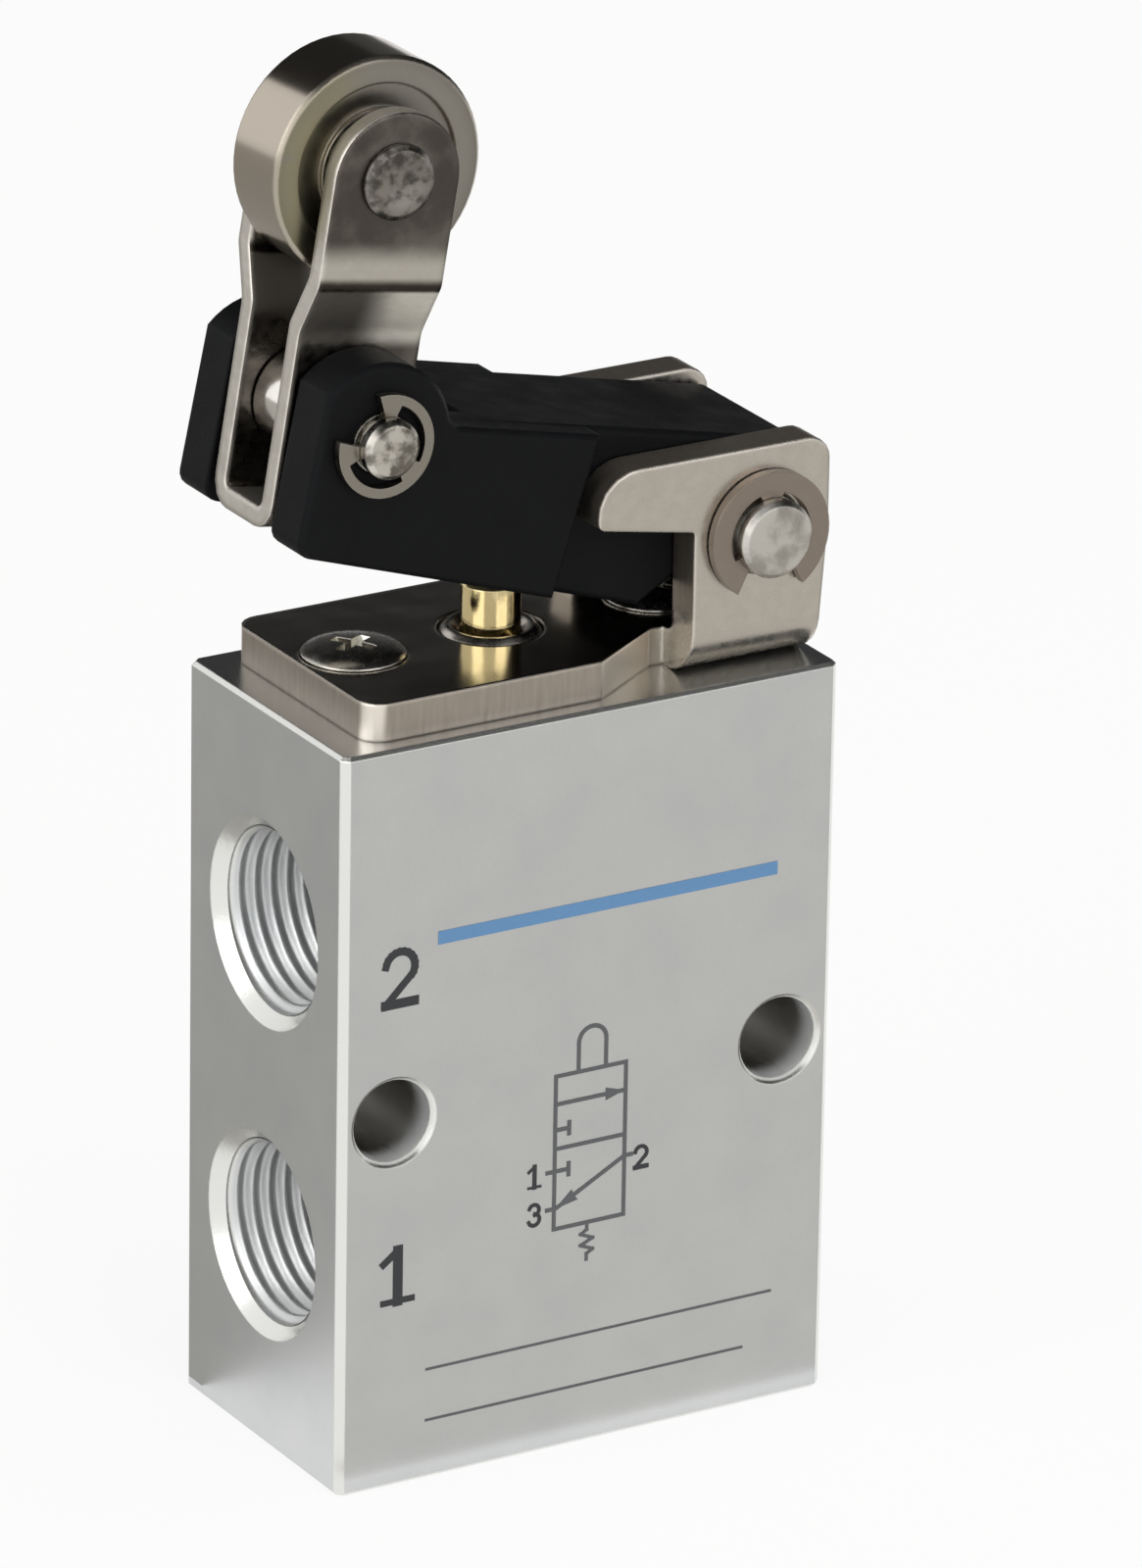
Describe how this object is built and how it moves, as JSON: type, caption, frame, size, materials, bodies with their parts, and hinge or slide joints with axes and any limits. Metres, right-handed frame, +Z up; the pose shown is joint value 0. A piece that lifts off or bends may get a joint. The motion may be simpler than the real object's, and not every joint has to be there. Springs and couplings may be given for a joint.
{
  "type": "mechanical air valve",
  "caption": "Aluminium air valve with side ports, worked by a hinged black lever with a folding one-way roller arm over a brass plunger.",
  "frame": {"origin": "middle of the valve block's flat bottom face", "axes": "+Z up along the spool bore towards the lever, +X from the port face to the plain end, -Y out of the front face"},
  "size_m": [0.0295, 0.0158, 0.072],
  "materials": {
    "anodised_aluminium": "natural satin anodised",
    "nickel_bush": "bright nickel plate",
    "nickel_plated_steel": "bright nickel plate",
    "zinc_steel": "bright zinc plate",
    "bright_steel": "polished",
    "clip_steel": "oiled spring steel",
    "brass": "turned and polished",
    "spool_aluminium": "turned",
    "nitrile_rubber": "black",
    "spring_steel": "drawn wire",
    "black_moulding": "moulded matte",
    "washer_steel": "bright zinc plate",
    "roller_steel": "hardened and polished",
    "bronze": "sintered bronze"
  },
  "bodies": {
    "valve": {"valve_body": "anodised_aluminium", "guide_bush": "nickel_bush", "bracket": "nickel_plated_steel", "bracket_screw_left": "zinc_steel", "bracket_screw_right": "zinc_steel", "lever_pin": "bright_steel", "lever_pin_clip": "clip_steel"},
    "plunger": {"plunger": "brass", "spool": "spool_aluminium", "spool_o_ring_low": "nitrile_rubber", "spool_o_ring_supply": "nitrile_rubber", "spool_o_ring_exhaust": "nitrile_rubber", "return_spring": "spring_steel"},
    "lever": {"lever": "black_moulding", "arm_pin": "bright_steel", "arm_pin_clip": "clip_steel", "torsion_spring": "spring_steel"},
    "arm": {"roller_arm": "nickel_plated_steel", "roller_axle": "bright_steel", "washer_near": "washer_steel", "washer_far": "washer_steel"},
    "roller": {"roller": "roller_steel", "roller_bush": "bronze"}
  },
  "joints": [
    {"name": "plunger_slide", "type": "slide", "parent": "valve", "child": "plunger", "axis": [0, 0, -1], "range_m": [0, 0.002], "deforming": ["return_spring"]},
    {"name": "lever_pivot", "type": "hinge", "parent": "valve", "child": "lever", "pos_m": [0.0101, 0, 0.0461], "axis": [0, -1, 0], "range_deg": [0, 11], "stiffness_Nm_per_rad": 0.06, "springref_deg": -34.38},
    {"name": "arm_hinge", "type": "hinge", "parent": "lever", "child": "arm", "pos_m": [-0.01121, 0, 0.05415], "axis": [0, 1, 0], "range_deg": [0, 45], "stiffness_Nm_per_rad": 0.006, "springref_deg": -45.84},
    {"name": "roller_spin", "type": "hinge", "parent": "arm", "child": "roller", "pos_m": [-0.00921, 0, 0.06635], "axis": [0, 1, 0], "continuous": true}
  ],
  "couplings": [
    {"joint": "lever_pivot", "follows": "plunger_slide", "rad_per_m": 95.99}
  ]
}
